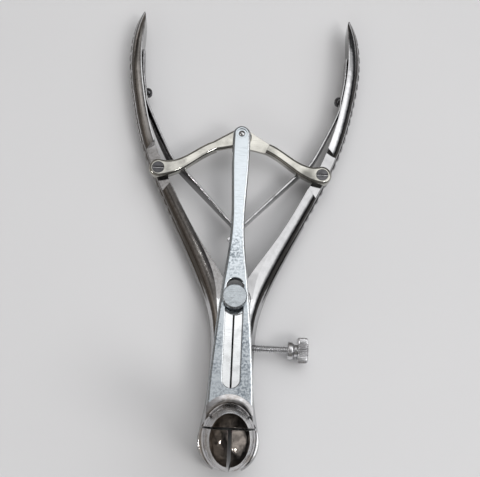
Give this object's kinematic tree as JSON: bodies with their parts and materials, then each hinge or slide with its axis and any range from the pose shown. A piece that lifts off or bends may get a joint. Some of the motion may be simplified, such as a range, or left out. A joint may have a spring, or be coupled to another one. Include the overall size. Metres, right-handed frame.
{
  "type": "three-blade speculum",
  "caption": "Hinged lever instrument: squeezing two sprung handles spreads side blades and draws a centre blade back on a slotted bar; a knurled thumb screw holds it open.",
  "frame": {"origin": "on the hinge axis, in the back plane that the instrument lies on", "axes": "+Y from the hinge to the handle tips, +X towards the thumb screw's side, +Z along the closed blades"},
  "size_m": [0.1024, 0.1986, 0.072],
  "materials": {
    "forged_steel": "mirror-polished stainless steel",
    "blade_steel": "mirror-polished stainless steel",
    "bar_steel": "polished steel with fine scuffs",
    "link_steel": "mirror-polished stainless steel",
    "screw_steel": "dark polished steel",
    "rivet_steel": "polished steel",
    "disc_steel": "satin steel with fine scuffs",
    "spring_steel": "polished spring steel",
    "thumb_steel": "polished steel, straight knurl"
  },
  "bodies": {
    "hinge_pin": {"pivot_screw": "disc_steel", "pivot_nut": "disc_steel"},
    "right_arm": {"right_arm": "forged_steel", "right_blade": "blade_steel", "right_spring": "spring_steel", "right_spring_screw": "screw_steel", "right_link_screw": "screw_steel"},
    "left_arm": {"left_arm": "forged_steel", "left_blade": "blade_steel", "left_spring": "spring_steel", "left_spring_screw": "screw_steel", "left_link_screw": "screw_steel"},
    "slide_bar": {"slide_bar": "bar_steel", "centre_blade": "blade_steel", "link_rivet": "rivet_steel", "rivet_washer": "rivet_steel"},
    "right_link": {"right_link": "link_steel"},
    "left_link": {"left_link": "link_steel"},
    "thumb_screw": {"thumb_screw_spindle": "thumb_steel"},
    "thumb_knob": {"thumb_screw_knob": "thumb_steel"}
  },
  "joints": [
    {"name": "right_arm_hinge", "type": "hinge", "parent": "hinge_pin", "child": "right_arm", "pos_m": [0, 0, 0], "axis": [0, 0, 1], "range_deg": [0, 16], "stiffness_Nm_per_rad": 0.3, "springref_deg": -5.73, "deforming": ["right_spring"]},
    {"name": "left_arm_hinge", "type": "hinge", "parent": "hinge_pin", "child": "left_arm", "pos_m": [0, 0, 0], "axis": [0, 0, 1], "range_deg": [-16, 0], "deforming": ["left_spring"]},
    {"name": "bar_slide", "type": "slide", "parent": "hinge_pin", "child": "slide_bar", "axis": [0, 1, 0], "range_m": [0, 0.02492]},
    {"name": "right_link_pivot", "type": "hinge", "parent": "right_arm", "child": "right_link", "pos_m": [0.0344, 0.0551, 0.0108], "axis": [0, 0, 1], "range_deg": [-53.15, 0]},
    {"name": "left_link_pivot", "type": "hinge", "parent": "left_arm", "child": "left_link", "pos_m": [-0.0344, 0.0551, 0.0108], "axis": [0, 0, 1], "range_deg": [0, 53.15]},
    {"name": "thumb_screw_feed", "type": "slide", "parent": "right_arm", "child": "thumb_screw", "axis": [-1, 0, 0], "range_m": [0, 0.0095]},
    {"name": "thumb_knob_turn", "type": "hinge", "parent": "thumb_screw", "child": "thumb_knob", "pos_m": [0.028, -0.0183, 0.0061], "axis": [1, 0, 0], "continuous": true}
  ],
  "couplings": [
    {"joint": "left_arm_hinge", "follows": "right_arm_hinge", "ratio": -1},
    {"joint": "bar_slide", "follows": "right_arm_hinge", "m_per_rad": 0.089216},
    {"joint": "right_link_pivot", "follows": "right_arm_hinge", "ratio": -3.3216},
    {"joint": "left_link_pivot", "follows": "right_arm_hinge", "ratio": 3.3216},
    {"joint": "thumb_screw_feed", "follows": "right_arm_hinge", "m_per_rad": 0.034}
  ]
}
